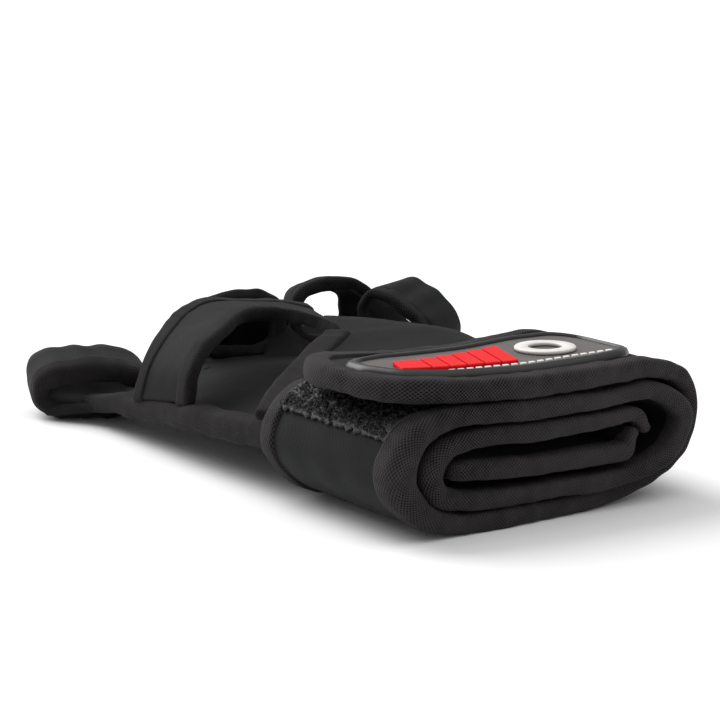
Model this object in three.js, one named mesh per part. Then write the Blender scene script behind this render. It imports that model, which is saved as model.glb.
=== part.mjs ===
import * as THREE from 'three';

// Weightlifting glove for the right hand, palm down, with its long wrist wrap rolled up.
// X runs across the wrist towards the little finger, Y from the wrist to the fingers, Z up.
// All sizes are millimetres. Before the last line the origin is on the floor under the near
// end of the roll; the last lines move it to the middle of the footprint.

// Driving sizes
const STRAP_WIDTH = 57;
const BINDING_WIDTH = 6;
const OPENING_WIDTH = 6.6;
const PANEL_INSET = 0.9;
const SEAM_GAP = 0.3;
const CLOTH = 3;
const LOOP_WALL = 2.6;
const RIM_LENGTH = 5;
const LOOP_FULLNESS = { upper: 0.7, lower: 0.66 };
const LOOP_GAP = 0.95;
const TAPE_THICKNESS = 3.8;
const WRIST_TAPE = 4.8;
const WRIST_TAPER = { start: 8, loss: 0.55 };
const PALM_EDGE_TAPE = { wrist: 7.4, finger: 5.0 };
const EDGE_REACH = 6.9;
const EDGE_GAP = 0.4;
const PILE_HEIGHT = 0.8;
const PILE_START = 4;
const PILE_END = 14;
const PATCH_THICKNESS = 1.2;
const PATCH_RELIEF = 0.8;

const WRAP_DIVISIONS = 1200;
const STRAP_STEPS = 108;
const ROUND_STEPS = 24;
const SECTION_STEPS = 12;

// Rolled wrap, read from the free end of the flap on top to the end sewn inside:
// x and z of the middle of the wrap, its thickness at the bound edges, and how far the
// near and far edges stand back from the roll's two ends.
const WRAP = [
  { at: 'flap tip',          x: -34.0, z: 36.0, thick: 5.6, near: 2.0, far: 8.0 },
  { at: 'flap raised',       x: -25,   z: 35.4, thick: 5.8, near: 3.0, far: 8.5 },
  { at: 'flap narrow',       x: -14,   z: 34.7, thick: 5.8, near: 1.4, far: 9.5 },
  { at: 'flap over pile',    x: -3,    z: 34.0, thick: 5.6, near: 0.4, far: 10.0 },
  { at: 'flap middle',       x: 14,    z: 33.5, thick: 5.4, near: 0.0, far: 8.5 },
  { at: 'flap right',        x: 34,    z: 33.8, thick: 5.4, near: 0.0, far: 6.0 },
  { at: 'top shoulder',      x: 47,    z: 33.6, thick: 5.0, near: 1.0, far: 3.0 },
  { at: 'outer right high',  x: 58.6,  z: 29.4, thick: 4.8, near: 3.5, far: 1.0 },
  { at: 'outer right',       x: 62.2,  z: 20.8, thick: 4.8, near: 4.5, far: 0.0 },
  { at: 'outer right low',   x: 57.2,  z: 10.2, thick: 4.8, near: 4.5, far: 0.0 },
  { at: 'lower right',       x: 44,    z: 4.5,  thick: 4.8, near: 4.0, far: 0.0 },
  { at: 'bottom right',      x: 30,    z: 2.8,  thick: 4.8, near: 2.5, far: 0.0 },
  { at: 'floor right',       x: 20,    z: 2.4,  thick: 4.8, near: 1.4, far: 0.0 },
  { at: 'floor middle',      x: 6,     z: 2.4,  thick: 4.8, near: 0.4, far: 0.0 },
  { at: 'floor left',        x: -8,    z: 2.4,  thick: 4.8, near: 0.0, far: 0.0 },
  { at: 'bottom left',       x: -14,   z: 3.1,  thick: 5.2, near: 0.0, far: 0.0 },
  { at: 'outer left low',    x: -22.6, z: 6.0,  thick: 6.6, near: 0.0, far: 0.0 },
  { at: 'outer left',        x: -29.6, z: 15.6, thick: 8.8, near: 0.0, far: 0.0 },
  { at: 'outer left high',   x: -25.0, z: 25.2, thick: 7.4, near: 0.0, far: 0.0 },
  { at: 'second top left',   x: -14,   z: 28.3, thick: 5.0, near: 0.0, far: 0.0 },
  { at: 'second top',        x: 6,     z: 27.9, thick: 5.0, near: 0.0, far: 0.0 },
  { at: 'second top right',  x: 30,    z: 27.8, thick: 4.8, near: 0.0, far: 0.0 },
  { at: 'inner right high',  x: 48,    z: 28.0, thick: 4.8, near: 0.0, far: 0.0 },
  { at: 'inner right',       x: 56.5,  z: 21.2, thick: 5.0, near: 0.0, far: 0.0 },
  { at: 'inner right low',   x: 52.0,  z: 12.0, thick: 5.0, near: 0.0, far: 0.0 },
  { at: 'second low right',  x: 38,    z: 7.9,  thick: 4.6, near: 0.0, far: 0.0 },
  { at: 'second low',        x: 14,    z: 7.4,  thick: 4.6, near: 0.0, far: 0.0 },
  { at: 'second low left',   x: -9,    z: 7.8,  thick: 4.8, near: 0.0, far: 0.0 },
  { at: 'inner left low',    x: -18.2, z: 10.4, thick: 6.0, near: 0.0, far: 0.0 },
  { at: 'inner left',        x: -20.6, z: 15.6, thick: 6.8, near: 0.0, far: 0.0 },
  { at: 'inner left high',   x: -17.0, z: 20.6, thick: 6.0, near: 0.0, far: 0.0 },
  { at: 'third top left',    x: -8,    z: 22.6, thick: 4.8, near: 0.0, far: 0.0 },
  { at: 'third top',         x: 12,    z: 22.1, thick: 4.6, near: 0.0, far: 0.0 },
  { at: 'third top right',   x: 33,    z: 22.7, thick: 4.4, near: 0.0, far: 0.0 },
  { at: 'sewn end bend',     x: 41.6,  z: 22.9, thick: 3.4, near: 0.0, far: 0.0 },
  { at: 'sewn end',          x: 44.8,  z: 18.8, thick: 2.6, near: 0.0, far: 0.0 },
];
const TIP_ROUNDING = 17;
const TIP_FULLNESS = 2.3;

// Where the palm widens from the wrist tab to the hand.
const HAND_START = 61;

// Palm, a row for each section: x and z of the left edge, l, the middle, m, the right turn, t,
// and the right edge turned up, e. skew is how much nearer the wrist that edge lies than the left.
const PALM = [
  { y: 0, skew: 0, lx: -13, lz: 15.6, mx: 14, mz: 13.9, tx: 37.5, tz: 14, ex: 40.4, ez: 18.2 },
  { y: 50, skew: 0, lx: -13, lz: 15.6, mx: 14, mz: 13.9, tx: 37.5, tz: 14, ex: 40.4, ez: 18.2 },
  { y: 57.6, skew: 0, lx: -14, lz: 15.4, mx: 15, mz: 14, tx: 41, tz: 12.6, ex: 46, ez: 15 },
  { y: HAND_START, skew: 0, lx: -23.6, lz: 15.1, mx: 16, mz: 14.2, tx: 46, tz: 12.4, ex: 53, ez: 14.6 },
  { y: 80, skew: 0, lx: -23.6, lz: 13.6, mx: 17, mz: 15.4, tx: 54, tz: 12.2, ex: 62, ez: 14.4 },
  { y: 100, skew: 2, lx: -23.6, lz: 12.7, mx: 18, mz: 16.2, tx: 56, tz: 12.6, ex: 64, ez: 14.6 },
  { y: 128, skew: 10, lx: -22.6, lz: 10, mx: 18, mz: 16.2, tx: 52, tz: 12.8, ex: 60, ez: 12.2 },
  { y: 156, skew: 15, lx: -22, lz: 7.1, mx: 14, mz: 15, tx: 40, tz: 15, ex: 54, ez: 12.8 },
];

// Back of the hand, a row for each section: x and z of the left edge, l, the crown, m, the right
// shoulder, t, and the lower right edge, e.
const BACK = [
  { y: 57.7, skew: 0, lx: -26, lz: 21.6, mx: 6, mz: 23.6, tx: 40, tz: 24, ex: 48.4, ez: 19 },
  { y: 70, skew: 0, lx: -12, lz: 24.8, mx: 20, mz: 26.6, tx: 52, tz: 24, ex: 60, ez: 17.8 },
  { y: 84, skew: 0, lx: 5.6, lz: 28.4, mx: 32, mz: 29, tx: 57, tz: 25, ex: 65, ez: 17.8 },
  { y: 93.5, skew: 0, lx: 17.6, lz: 30.6, mx: 38, mz: 30.4, tx: 57, tz: 25.6, ex: 65, ez: 18.2 },
  { y: 99, skew: 0, lx: 18.8, lz: 31.2, mx: 38, mz: 30.4, tx: 54, tz: 26.6, ex: 61, ez: 20 },
  { y: 106, skew: 0, lx: 20, lz: 31.8, mx: 36, mz: 30.2, tx: 48, tz: 27.8, ex: 54, ez: 23.6 },
  { y: 113, skew: 0, lx: 21.8, lz: 32, mx: 34, mz: 30.2, tx: 43, tz: 28.6, ex: 48.6, ez: 26.2 },
];

// Wrist side of the opening in the back, from the roll to the corner over the hand.
const OPENING_STRIP = [
  { x: -28.6, y: 60.4, z: 20.8 },
  { x: -17.6, y: 70.0, z: 24.0 },
  { x: -1.0,  y: 83.6, z: 27.8 },
  { x: 14.6,  y: 96.0, z: 30.8 },
];

// Band over the knuckles: its near and far edges, from the palm's thumb side up and over.
const BAND_NEAR = [
  { x: -28.0, y: 100.5, z: 17.3 },
  { x: -27.4, y: 99.5,  z: 24.4 },
  { x: -21.4, y: 103.5, z: 29.6 },
  { x: -9.0,  y: 113.5, z: 32.2 },
  { x: 3.0,   y: 123.0, z: 33.6 },
  { x: 12.0,  y: 121.5, z: 33.4 },
  { x: 16.4,  y: 111.0, z: 32.6 },
  { x: 17.2,  y: 100.6, z: 31.4 },
];
const BAND_FAR = [
  { x: -28.0, y: 131.0, z: 13.6 },
  { x: -26.8, y: 128.5, z: 21.4 },
  { x: -21.4, y: 131.0, z: 27.6 },
  { x: -9.0,  y: 142.0, z: 32.2 },
  { x: 1.0,   y: 146.0, z: 34.2 },
  { x: 10.0,  y: 141.0, z: 34.0 },
  { x: 19.0,  y: 137.0, z: 33.6 },
  { x: 25.0,  y: 130.0, z: 32.6 },
];

// Finger loops: middle of each mouth, direction of the finger from +Y towards +X, turn about the
// loop's own axis, and thickness of the hem round the mouth. The sections stand at distances
// along the loop, with their half width, half height, z of the middle, and how far it lies aside.
const LOOPS = [
  {
    name: 'index', x: -24, y: 164.4, aim: 27, roll: 0, hem: 4.8,
    sections: [
      { along: 0,  half: 16.8, high: 7.5, z: 7.9,  side: 0 },
      { along: 6,  half: 17.4, high: 8.4, z: 8.6,  side: -0.6 },
      { along: 14, half: 17.4, high: 8.2, z: 10.2, side: -2 },
      { along: 20, half: 15.8, high: 6.0, z: 12.4, side: -3 },
    ],
  },
  {
    name: 'middle', x: 17.6, y: 151.3, aim: 10, roll: 0, hem: 4,
    sections: [
      { along: 0,  half: 14.8, high: 10.8, z: 26.6, side: 0 },
      { along: 5,  half: 14.8, high: 9.2,  z: 23.6, side: 0 },
      { along: 10, half: 14.8, high: 7.2,  z: 19.2, side: 0 },
      { along: 15, half: 14,   high: 5,    z: 12,   side: 0 },
    ],
  },
  {
    name: 'ring', x: 46.6, y: 146.2, aim: 12, roll: 0, hem: 3.8,
    sections: [
      { along: 0,  half: 13.8, high: 10.6, z: 26.9, side: 0 },
      { along: 5,  half: 13.8, high: 10.4, z: 26.6, side: 0 },
      { along: 9,  half: 12.4, high: 9,    z: 26.8, side: -1 },
      { along: 13, half: 8.9,  high: 7.2,  z: 27.2, side: -2.2 },
    ],
  },
  {
    name: 'little', x: 52.6, y: 124.5, aim: 67, roll: 32, hem: 3,
    sections: [
      { along: 0,  half: 14,   high: 7.2, z: 25.4, side: 0 },
      { along: 7,  half: 14,   high: 7.6, z: 25.6, side: 0 },
      { along: 14, half: 13.6, high: 8,   z: 25.8, side: -0.4 },
      { along: 20, half: 12.8, high: 8,   z: 26,   side: -1.2 },
    ],
  },
];

// Rubber patch on the flap: its near and far edges at distances along the wrap from its tip.
const PATCH = [
  { s: 8,    near: 22.0, far: 29.0 },
  { s: 13,   near: 13.6, far: 33.4 },
  { s: 22,   near: 9.2,  far: 36.2 },
  { s: 42,   near: 7.4,  far: 38.0 },
  { s: 66,   near: 7.2,  far: 41.6 },
  { s: 77,   near: 9.4,  far: 40.6 },
  { s: 84,   near: 17.0, far: 35.0 },
];
const PATCH_MIDDLE = 25;
const PATCH_STEPS = 24;
const RIM_WIDTH = 2;
const BAR_COUNT = 6;
const BAR_FIRST = 17.2;
const BAR_PITCH = 5.2;
const BAR_WIDTH = 3.6;
const BAR_SLANT = 6;
const BAR_NEAR = 14;
const BAR_FAR = { first: 24, last: 31 };
const RING_PLACE = { s: 64, y: 24, outer: 7.8, inner: 4.2 };

function material(colour, roughness, metalness = 0) {
  return new THREE.MeshStandardMaterial({ color: colour, roughness, metalness });
}

const NEOPRENE = material('#1b1b1c', 0.78);
const TAPE = material('#1d1a1d', 0.85);
const PILE = material('#121213', 0.95);
const RUBBER = material('#4b4848', 0.5);
const RIM_RUBBER = material('#191919', 0.45);
const RED_RUBBER = material('#c8202a', 0.45);
const WHITE_RUBBER = material('#d8d5d2', 0.5);

// Value of one column of a table at a place between its first row, 0, and its last, 1,
// on a smooth curve that never swings past the rows.
function column(rows, key, t) {
  const last = rows.length - 1;
  const place = Math.min(Math.max(t, 0), 1) * last;
  const i = Math.min(Math.floor(place), last - 1);
  const u = place - i;
  const rise = (k) => rows[k + 1][key] - rows[k][key];
  const slope = (k) => {
    if (k === 0) return rise(0);
    if (k === last) return rise(last - 1);
    return rise(k - 1) * rise(k) <= 0 ? 0 : 2 * rise(k - 1) * rise(k) / (rise(k - 1) + rise(k));
  };
  const a = rows[i][key];
  const b = rows[i + 1][key];
  const h = u * u * (3 - 2 * u);
  return a + (b - a) * h + slope(i) * u * (1 - u) ** 2 - slope(i + 1) * u * u * (1 - u);
}

// Place in a table, 0 to 1, where its first column reaches a value.
function placeOf(rows, key, value) {
  let low = 0;
  let high = 1;
  for (let n = 0; n < 30; n += 1) {
    const middle = (low + high) / 2;
    if (column(rows, key, middle) < value) low = middle;
    else high = middle;
  }
  return (low + high) / 2;
}

function mixPoints(a, b, t) {
  return new THREE.Vector3().lerpVectors(a, b, t);
}

// Square directions of a sheet at one of its grid points, from the neighbouring points.
function sheetNormal(grid, i, k, loop) {
  const rows = grid.length;
  const before = loop ? (i + rows - 1) % rows : Math.max(i - 1, 0);
  const after = loop ? (i + 1) % rows : Math.min(i + 1, rows - 1);
  const along = grid[after][k].clone().sub(grid[before][k]);
  const across = grid[i][Math.min(k + 1, grid[i].length - 1)].clone().sub(grid[i][Math.max(k - 1, 0)]);
  return along.cross(across).normalize();
}

// Closed body from a sheet of grid points, given a thickness by adding half of it on each side.
// thick is a size or a function of the grid place. loop joins the last row to the first.
function slab(grid, thick, loop = false) {
  const rows = grid.length;
  const columns = grid[0].length;
  const size = typeof thick === 'function' ? thick : () => thick;
  const vertices = [];
  for (const side of [1, -1]) {
    for (let i = 0; i < rows; i += 1) {
      for (let k = 0; k < columns; k += 1) {
        const shift = sheetNormal(grid, i, k, loop).multiplyScalar(side * size(i, k) / 2);
        vertices.push(...grid[i][k].clone().add(shift).toArray());
      }
    }
  }
  const at = (side, i, k) => side * rows * columns + (i % rows) * columns + k;
  const faces = [];
  const quad = (a, b, c, d) => faces.push(a, b, c, a, c, d);
  const spans = loop ? rows : rows - 1;
  for (let i = 0; i < spans; i += 1) {
    for (let k = 0; k < columns - 1; k += 1) {
      quad(at(0, i, k), at(0, i + 1, k), at(0, i + 1, k + 1), at(0, i, k + 1));
      quad(at(1, i, k), at(1, i, k + 1), at(1, i + 1, k + 1), at(1, i + 1, k));
    }
    quad(at(0, i, 0), at(1, i, 0), at(1, i + 1, 0), at(0, i + 1, 0));
    const end = columns - 1;
    quad(at(0, i, end), at(0, i + 1, end), at(1, i + 1, end), at(1, i, end));
  }
  if (!loop) {
    const end = rows - 1;
    for (let k = 0; k < columns - 1; k += 1) {
      quad(at(0, 0, k), at(0, 0, k + 1), at(1, 0, k + 1), at(1, 0, k));
      quad(at(0, end, k), at(1, end, k), at(1, end, k + 1), at(0, end, k + 1));
    }
  }
  const geometry = new THREE.BufferGeometry();
  geometry.setAttribute('position', new THREE.Float32BufferAttribute(vertices, 3));
  geometry.setIndex(faces);
  geometry.computeVertexNormals();
  return geometry;
}

const glove = new THREE.Group();

function addPiece(name, geometry, finish) {
  const mesh = new THREE.Mesh(geometry, finish);
  mesh.name = name;
  glove.add(mesh);
}

// Points from a to b, both ends included.
function steps(count, from = 0, to = 1) {
  return Array.from({ length: count + 1 }, (_, n) => from + (to - from) * n / count);
}

// The wrap as a surface: s is the distance along it from the flap's tip, y lies across it,
// and lift is the height over its middle on the outer side of the roll.
const wrapRows = WRAP.map((row) => new THREE.Vector3(row.x, 0, row.z));
const wrapPath = new THREE.CatmullRomCurve3(wrapRows, false, 'centripetal');
wrapPath.arcLengthDivisions = WRAP_DIVISIONS;
const WRAP_LENGTH = wrapPath.getLength();

function wrapColumn(key, s) {
  return column(WRAP, key, wrapPath.getUtoTmapping(Math.min(Math.max(s / WRAP_LENGTH, 0), 1)));
}

function wrapPoint(s, y, lift = 0) {
  const u = Math.min(Math.max(s / WRAP_LENGTH, 0), 1);
  const point = wrapPath.getPointAt(u);
  const run = wrapPath.getTangentAt(u);
  return new THREE.Vector3(point.x - run.z * lift, y, point.z + run.x * lift);
}

// Outline of the wrap, inset from its edge: down the near side to the tip, round it and back.
function wrapOutline(inset) {
  const round = TIP_ROUNDING - inset;
  const points = [];
  const add = (s, side) => {
    const near = wrapColumn('near', s) + inset;
    const far = STRAP_WIDTH - wrapColumn('far', s) - inset;
    points.push({ s, y: (near + far) / 2 + side * (far - near) / 2 });
  };
  for (const s of steps(STRAP_STEPS, WRAP_LENGTH, TIP_ROUNDING)) add(s, -1);
  for (const angle of steps(ROUND_STEPS, -Math.PI / 2, Math.PI / 2).slice(1, -1)) {
    const s = inset + round * (1 - Math.cos(angle) ** (2 / TIP_FULLNESS));
    add(s, Math.sign(angle) * Math.abs(Math.sin(angle)) ** (2 / TIP_FULLNESS));
  }
  for (const s of steps(STRAP_STEPS, TIP_ROUNDING, WRAP_LENGTH)) add(s, 1);
  return points;
}

function makeStrapPanel() {
  const inset = BINDING_WIDTH + SEAM_GAP;
  const round = TIP_ROUNDING - inset;
  const tip = steps(6, Math.PI / 14, Math.PI / 2).map((angle) => {
    const fullness = Math.abs(Math.sin(angle)) ** (2 / TIP_FULLNESS);
    return { s: inset + round * (1 - Math.cos(angle) ** (2 / TIP_FULLNESS)), fullness };
  });
  const rest = steps(STRAP_STEPS, TIP_ROUNDING, WRAP_LENGTH).slice(1).map((s) => ({ s, fullness: 1 }));
  const rows = [...tip, ...rest];
  const grid = rows.map(({ s, fullness }) => {
    const near = wrapColumn('near', s) + inset;
    const far = STRAP_WIDTH - wrapColumn('far', s) - inset;
    const half = (far - near) / 2 * fullness;
    return [-1, 1].map((side) => wrapPoint(s, (near + far) / 2 + side * half));
  });
  return slab(grid, (i) => wrapColumn('thick', rows[i].s) - 2 * PANEL_INSET);
}

function makeStrapBinding() {
  const outer = wrapOutline(0);
  const inner = wrapOutline(BINDING_WIDTH);
  const shares = [0, 0.25, 1];
  const fullness = [0.55, 1, 1];
  const grid = outer.map((point, i) => shares.map((share) => {
    const s = point.s + (inner[i].s - point.s) * share;
    return wrapPoint(s, point.y + (inner[i].y - point.y) * share);
  }));
  return slab(grid, (i, k) => wrapColumn('thick', outer[i].s) * fullness[k]);
}

// Distance along the wrap of the row with this name.
function wrapPlace(name) {
  const t = WRAP.findIndex((row) => row.at === name) / (WRAP.length - 1);
  return wrapPath.getLengths(WRAP_DIVISIONS)[Math.round(t * WRAP_DIVISIONS)];
}

// Sheet on the outer side of the wrap, between s values and edges given as functions of s.
function wrapPatch(sValues, near, far, across, lift, thick) {
  const grid = sValues.map((s) => steps(across).map((share) => {
    return wrapPoint(s, near(s) + (far(s) - near(s)) * share, lift(s));
  }));
  return slab(grid, thick);
}

function makeLoopPile() {
  const from = wrapPlace('outer left high') - PILE_START;
  const to = wrapPlace('inner right high') - PILE_END;
  const near = () => BINDING_WIDTH + 2 * SEAM_GAP;
  const far = () => STRAP_WIDTH - BINDING_WIDTH - 2 * SEAM_GAP;
  const lift = (s) => wrapColumn('thick', s) / 2 - PANEL_INSET + SEAM_GAP + PILE_HEIGHT / 2;
  return wrapPatch(steps(22, from, to), near, far, 1, lift, PILE_HEIGHT);
}

// Edge of the patch at a distance along the wrap.
function patchEdge(key, s) {
  let i = 0;
  while (i < PATCH.length - 2 && PATCH[i + 1].s < s) i += 1;
  const t = (s - PATCH[i].s) / (PATCH[i + 1].s - PATCH[i].s);
  return PATCH[i][key] + (PATCH[i + 1][key] - PATCH[i][key]) * t;
}

function onPatch(s, layer) {
  const base = wrapColumn('thick', s) / 2 - PANEL_INSET + SEAM_GAP;
  return layer === 0 ? base + PATCH_THICKNESS / 2 : base + PATCH_THICKNESS + SEAM_GAP + PATCH_RELIEF / 2;
}

function makePatchBase() {
  const places = steps(PATCH_STEPS, PATCH[0].s, PATCH.at(-1).s);
  const near = (s) => patchEdge('near', s);
  const far = (s) => patchEdge('far', s);
  return wrapPatch(places, near, far, 4, (s) => onPatch(s, 0), PATCH_THICKNESS);
}

function makePatchRim() {
  const places = steps(PATCH_STEPS, PATCH[0].s, PATCH.at(-1).s);
  const middle = new THREE.Vector2((PATCH[0].s + PATCH.at(-1).s) / 2, PATCH_MIDDLE);
  const outline = [
    ...places.map((s) => new THREE.Vector2(s, patchEdge('near', s))),
    ...places.map((s) => new THREE.Vector2(s, patchEdge('far', s))).reverse(),
  ];
  const grid = outline.map((point, i) => {
    const before = outline[(i + outline.length - 1) % outline.length];
    const after = outline[(i + 1) % outline.length];
    const run = after.clone().sub(before).normalize();
    const inward = new THREE.Vector2(-run.y, run.x);
    if (inward.dot(middle.clone().sub(point)) < 0) inward.negate();
    return [0, RIM_WIDTH].map((width) => {
      const place = point.clone().addScaledVector(inward, width);
      return wrapPoint(place.x, place.y, onPatch(place.x, 1));
    });
  });
  return slab(grid, PATCH_RELIEF, true);
}

function makePatchBar(n) {
  const start = BAR_FIRST + n * BAR_PITCH;
  const far = THREE.MathUtils.lerp(BAR_FAR.first, BAR_FAR.last, n / (BAR_COUNT - 1));
  const grid = steps(2).map((share) => steps(3).map((t) => {
    const s = start + share * BAR_WIDTH + t * BAR_SLANT;
    return wrapPoint(s, BAR_NEAR + (far - BAR_NEAR) * t, onPatch(s, 1));
  }));
  return slab(grid, PATCH_RELIEF);
}

function makePatchRing() {
  const grid = steps(ROUND_STEPS).slice(0, -1).map((turn) => {
    const angle = turn * 2 * Math.PI;
    return [RING_PLACE.inner, RING_PLACE.outer].map((radius) => {
      const s = RING_PLACE.s + radius * Math.cos(angle);
      return wrapPoint(s, RING_PLACE.y + radius * Math.sin(angle), onPatch(s, 1));
    });
  });
  return slab(grid, PATCH_RELIEF, true);
}

// Points across one section of the palm or the back, through its four places.
function sectionRow(rows, y, keys, across) {
  const t = placeOf(rows, 'y', y);
  const places = keys.map((key, n) => {
    const skew = column(rows, 'skew', t) * n / (keys.length - 1);
    return new THREE.Vector3(column(rows, `${key}x`, t), y - skew, column(rows, `${key}z`, t));
  });
  return new THREE.CatmullRomCurve3(places, false, 'centripetal').getPoints(across);
}

function palmRow(y) {
  return sectionRow(PALM, y, ['l', 'm', 't', 'e'], SECTION_STEPS);
}

function makePalmPanel() {
  const from = BINDING_WIDTH + SEAM_GAP;
  const grid = steps(30, from, PALM.at(-1).y).map((y) => palmRow(y));
  return slab(grid, CLOTH);
}

function makePalmWristBinding() {
  const grid = steps(3, 0, BINDING_WIDTH).map((y) => palmRow(y));
  const fullness = [0.6, 1, 1, 1];
  const taper = (k) => Math.max(k - WRIST_TAPER.start, 0) * WRIST_TAPER.loss;
  return slab(grid, (i, k) => (WRIST_TAPE - taper(k)) * fullness[i]);
}

function makePalmEdgeBinding() {
  const rows = 20;
  const grid = steps(rows, STRAP_WIDTH + PANEL_INSET, PALM.at(-1).y + EDGE_REACH).map((y) => {
    const edge = palmRow(Math.max(y, HAND_START))[0];
    return [BINDING_WIDTH, BINDING_WIDTH * 0.8, 0].map((out) => {
      return new THREE.Vector3(edge.x - EDGE_GAP - out, y, edge.z);
    });
  });
  const fullness = [0.6, 1, 1];
  const { wrist, finger } = PALM_EDGE_TAPE;
  const thick = (i) => THREE.MathUtils.lerp(wrist, finger, (i / rows) ** 2);
  return slab(grid, (i, k) => thick(i) * fullness[k]);
}

function makeBackPanel() {
  const keys = ['l', 'm', 't', 'e'];
  const grid = steps(20, BACK[0].y, BACK.at(-1).y).map((y) => sectionRow(BACK, y, keys, SECTION_STEPS));
  return slab(grid, CLOTH);
}

function rail(rows) {
  const points = rows.map((row) => new THREE.Vector3(row.x, row.y, row.z));
  return new THREE.CatmullRomCurve3(points, false, 'centripetal');
}

function makeOpeningBinding() {
  const path = rail(OPENING_STRIP);
  const grid = steps(14).map((t) => {
    const middle = path.getPointAt(t);
    const run = path.getTangentAt(t);
    const across = new THREE.Vector3(run.y, -run.x, 0).normalize();
    return [1, 0.8, -0.8, -1].map((side) => {
      return middle.clone().addScaledVector(across, side * OPENING_WIDTH / 2);
    });
  });
  const fullness = [0.6, 1, 1, 0.6];
  return slab(grid, (i, k) => TAPE_THICKNESS * fullness[k]);
}

// Part of the knuckle band between two distances in from its near edge, on straight lines
// from the near edge to the far one.
function bandStrip(nearInset, farInset, thick, across = 1) {
  const near = rail(BAND_NEAR);
  const far = rail(BAND_FAR);
  const grid = steps(36).map((t) => {
    const a = near.getPointAt(t);
    const b = far.getPointAt(t);
    const width = a.distanceTo(b);
    const from = nearInset >= 0 ? nearInset / width : 1 + nearInset / width;
    const to = farInset > 0 ? farInset / width : 1 + farInset / width;
    return steps(across, from, to).map((share) => mixPoints(a, b, share));
  });
  return slab(grid, thick);
}

// Ring of points round a finger loop, at a distance along it from its mouth.
function loopRing(row, along, wall) {
  const turn = new THREE.Matrix4().makeRotationZ(THREE.MathUtils.degToRad(-row.aim));
  const roll = new THREE.Matrix4().makeRotationY(THREE.MathUtils.degToRad(row.roll));
  const place = turn.multiply(roll);
  const t = placeOf(row.sections, 'along', along);
  const [half, high, z, side] = ['half', 'high', 'z', 'side'].map((key) => column(row.sections, key, t));
  const middle = new THREE.Vector3(row.x, row.y, z);
  return steps(ROUND_STEPS).slice(0, -1).map((share) => {
    const angle = share * 2 * Math.PI;
    const power = Math.sin(angle) > 0 ? LOOP_FULLNESS.upper : LOOP_FULLNESS.lower;
    const full = (value) => Math.sign(value) * Math.abs(value) ** power;
    const x = side + (half - wall / 2) * full(Math.cos(angle));
    const rise = (high - wall / 2) * full(Math.sin(angle));
    return new THREE.Vector3(x, along, rise).applyMatrix4(place).add(middle);
  });
}

function makeLoopPiece(row, places, wall) {
  const rings = places.map((along) => loopRing(row, along, wall));
  return slab(rings[0].map((point, n) => rings.map((ring) => ring[n])), wall, true);
}

addPiece('strap_panel', makeStrapPanel(), NEOPRENE);
addPiece('strap_binding', makeStrapBinding(), TAPE);
addPiece('loop_pile', makeLoopPile(), PILE);
addPiece('patch_base', makePatchBase(), RUBBER);
addPiece('patch_rim', makePatchRim(), RIM_RUBBER);
for (let n = 0; n < BAR_COUNT; n += 1) addPiece(`patch_bar_${n + 1}`, makePatchBar(n), RED_RUBBER);
addPiece('patch_ring', makePatchRing(), WHITE_RUBBER);
addPiece('palm_panel', makePalmPanel(), NEOPRENE);
addPiece('palm_wrist_binding', makePalmWristBinding(), TAPE);
addPiece('palm_edge_binding', makePalmEdgeBinding(), TAPE);
addPiece('back_panel', makeBackPanel(), NEOPRENE);
addPiece('opening_binding', makeOpeningBinding(), TAPE);
const bandInset = BINDING_WIDTH + SEAM_GAP;
addPiece('knuckle_band', bandStrip(bandInset, -bandInset, CLOTH, 3), NEOPRENE);
addPiece('band_near_binding', bandStrip(0, BINDING_WIDTH, TAPE_THICKNESS), TAPE);
addPiece('band_far_binding', bandStrip(-BINDING_WIDTH, 0, TAPE_THICKNESS), TAPE);
for (const row of LOOPS) {
  const end = row.sections.at(-1).along;
  const from = RIM_LENGTH + LOOP_GAP;
  addPiece(`${row.name}_loop`, makeLoopPiece(row, [from, (from + end) / 2, end], LOOP_WALL), NEOPRENE);
  addPiece(`${row.name}_rim`, makeLoopPiece(row, [0, RIM_LENGTH], row.hem), TAPE);
}

const box = new THREE.Box3().setFromObject(glove);
const footprint = box.getCenter(new THREE.Vector3());
glove.position.set(-footprint.x, -footprint.y, -box.min.z);

export default glove;
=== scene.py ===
import math

import bpy
import numpy as np
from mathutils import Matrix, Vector


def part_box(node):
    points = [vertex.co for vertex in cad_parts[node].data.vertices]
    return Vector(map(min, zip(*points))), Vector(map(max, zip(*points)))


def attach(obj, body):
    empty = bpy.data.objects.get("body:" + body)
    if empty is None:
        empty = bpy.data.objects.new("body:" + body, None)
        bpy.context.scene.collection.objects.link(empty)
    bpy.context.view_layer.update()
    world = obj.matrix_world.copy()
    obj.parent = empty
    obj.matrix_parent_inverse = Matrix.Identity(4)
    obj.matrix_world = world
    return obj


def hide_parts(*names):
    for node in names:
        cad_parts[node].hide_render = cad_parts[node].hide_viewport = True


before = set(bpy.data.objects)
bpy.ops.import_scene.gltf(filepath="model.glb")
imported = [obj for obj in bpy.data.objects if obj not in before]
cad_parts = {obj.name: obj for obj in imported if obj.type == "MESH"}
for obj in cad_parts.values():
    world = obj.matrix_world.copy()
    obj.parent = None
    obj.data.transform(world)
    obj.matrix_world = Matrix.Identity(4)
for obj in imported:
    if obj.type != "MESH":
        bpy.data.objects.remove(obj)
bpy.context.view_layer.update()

# The glove's own millimetres: the near end of the roll stands at y 0, the roll's underside lies at
# z -0.093, and the thumb edge of the palm at x -30. shift carries them into the frame.
thumbEdge, rollUnder = -30.0, -0.093
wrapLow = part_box("strap_binding")[0] * 1000
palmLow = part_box("palm_edge_binding")[0] * 1000
shift = np.array([palmLow.x - thumbEdge, wrapLow.y, wrapLow.z - rollUnder])


# Numbers to shapes

def unit(vectors):  # each vector over its own length
    length = np.linalg.norm(vectors, axis=-1, keepdims=True)
    return vectors / np.maximum(length, 1e-9)


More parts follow.
